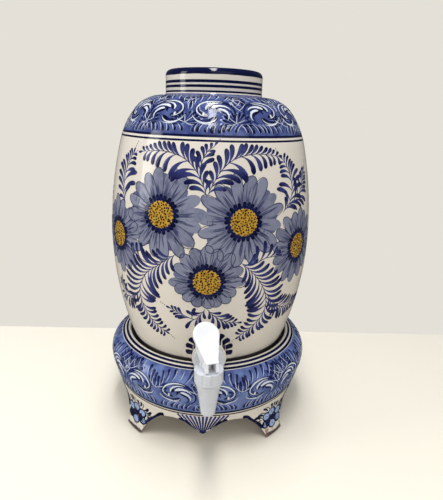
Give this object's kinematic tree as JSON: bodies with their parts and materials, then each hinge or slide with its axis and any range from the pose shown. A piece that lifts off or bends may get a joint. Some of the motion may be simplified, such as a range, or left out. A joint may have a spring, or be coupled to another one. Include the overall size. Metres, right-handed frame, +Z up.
{
  "type": "ceramic water filter crock",
  "caption": "Round-bellied glazed crock in a footed ring stand, with a swivelling lever tap at its foot and a filter candle inside.",
  "frame": {"origin": "on the crock's axis, at the level of the feet it stands on", "axes": "+Z up along the crock's axis, -Y towards the tap, +X to the right as seen from the tap"},
  "size_m": [0.2524, 0.3036, 0.422],
  "materials": {
    "stand": "glossy hand-painted glaze",
    "crock": "glossy hand-painted glaze",
    "tap_plastic": "glossy",
    "tap_nut": "satin",
    "washer_rubber": "matt",
    "cup_silicone": "satin",
    "pin_steel": "brushed",
    "elbow_plastic": "satin",
    "candle_ceramic": "matt",
    "candle_cap": "satin",
    "candle_felt": "matt",
    "candle_carbon": "granular"
  },
  "bodies": {
    "stand": {"stand": "stand"},
    "crock": {"crock_foot": "crock", "crock_belly": "crock", "crock_shoulder": "crock", "crock_crown": "crock", "crock_neck": "crock", "tap_front_washer": "washer_rubber", "tap_body": "tap_plastic", "tap_inner_washer": "washer_rubber", "tap_back_nut": "tap_nut", "tap_bonnet": "tap_plastic", "filter_union_nut": "tap_nut", "union_washer": "washer_rubber", "filter_elbow": "elbow_plastic", "candle_gasket": "washer_rubber", "candle_base": "candle_cap", "candle_pad": "candle_felt", "candle_core": "candle_carbon", "candle_shell": "candle_ceramic"},
    "seat_cup": {"seat_cup": "cup_silicone"},
    "valve_stem": {"valve_stem": "tap_plastic", "lever_pin": "pin_steel"},
    "lever": {"tap_lever": "tap_plastic"}
  },
  "joints": [
    {"name": "crock_lift", "type": "slide", "parent": "stand", "child": "crock", "axis": [0, 0, 1], "range_m": [0, 0.08]},
    {"name": "valve_lift", "type": "slide", "parent": "crock", "child": "seat_cup", "axis": [0, 0, 1], "range_m": [0, 0.0053], "deforming": ["seat_cup"]},
    {"name": "lever_swivel", "type": "hinge", "parent": "seat_cup", "child": "valve_stem", "pos_m": [0.0015, -0.163, 0.14565], "axis": [0, 0, 1], "continuous": true},
    {"name": "lever_tilt", "type": "hinge", "parent": "valve_stem", "child": "lever", "pos_m": [0.0015, -0.163, 0.14565], "axis": [0.9613, 0.2756, 0], "range_deg": [0, 32], "stiffness_Nm_per_rad": 0.12, "springref_deg": -11.46}
  ],
  "couplings": [
    {"joint": "valve_lift", "follows": "lever_tilt", "m_per_rad": 0.0094}
  ]
}
